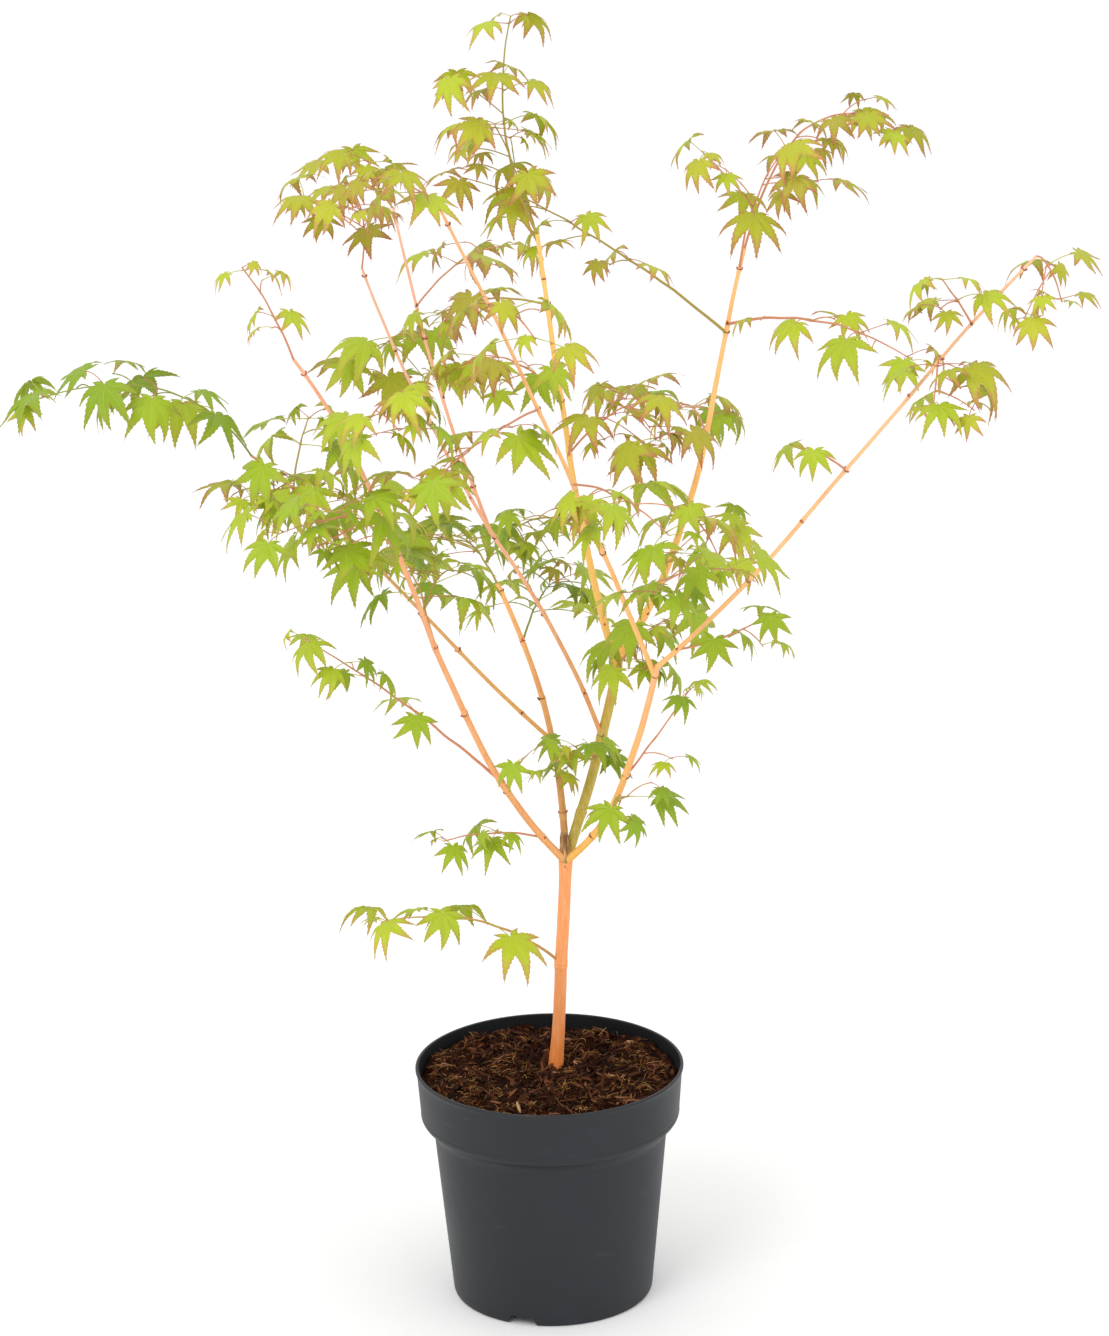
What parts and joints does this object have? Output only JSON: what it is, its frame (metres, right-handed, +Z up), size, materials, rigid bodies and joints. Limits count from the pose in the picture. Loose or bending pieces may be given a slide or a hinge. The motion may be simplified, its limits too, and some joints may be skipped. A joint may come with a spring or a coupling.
{
  "type": "potted japanese maple",
  "caption": "Young patio tree with palmate leaves on slender forked boughs, in a round nursery pot filled with potting mix.",
  "frame": {"origin": "centre of the pot's flat underside", "axes": "+Z up along the plant, +X to the right and +Y to the back as in the picture"},
  "size_m": [0.7204, 0.5231, 0.9263],
  "materials": {
    "pot": "moulded charcoal plastic with a soft sheen",
    "potting_mix": "moist bark chips and fibre",
    "bark": "smooth orange young bark",
    "leaf": "fresh green leaf",
    "leaf_high": "olive leaf with bronze edges"
  },
  "bodies": {
    "root": {"pot": "pot", "potting_mix": "potting_mix", "trunk": "bark", "left_bough": "bark", "right_bough": "bark", "main_leader": "bark", "left_leader": "bark", "arching_bough": "bark", "right_leader": "bark", "centre_leader": "bark", "back_bough": "bark", "back_fork": "bark", "left_fork": "bark", "outer_bough": "bark", "front_leader": "bark", "low_shoot": "leaf", "fork_shoot": "leaf", "left_low_shoot": "leaf", "left_spur": "leaf", "left_under": "leaf", "left_front": "leaf", "left_inner": "leaf", "mid_left": "leaf_high", "left_tip": "leaf_high", "arch_back": "leaf", "arch_under": "leaf", "arch_high": "leaf", "far_left": "leaf", "leader_back": "leaf", "leader_inner": "leaf", "right_low": "leaf", "main_low": "leaf", "main_right": "leaf", "upper_left": "leaf_high", "back_tip": "leaf_high", "back_right": "leaf_high", "back_left": "leaf", "front_tip": "leaf_high", "front_high": "leaf_high", "front_left": "leaf", "front_right": "leaf", "front_low": "leaf", "centre_back": "leaf", "centre_right": "leaf", "centre_left": "leaf_high", "centre_high": "leaf_high", "top_shoot": "leaf_high", "top_side": "leaf_high", "long_left": "leaf_high", "long_right": "leaf", "arch_tip": "leaf_high", "right_top": "leaf_high", "right_back": "leaf", "right_mid": "leaf", "outer_tip": "leaf_high", "outer_left": "leaf_high", "outer_drop": "leaf_high", "outer_small": "leaf", "outer_low": "leaf", "right_spur": "leaf"}
  },
  "joints": []
}
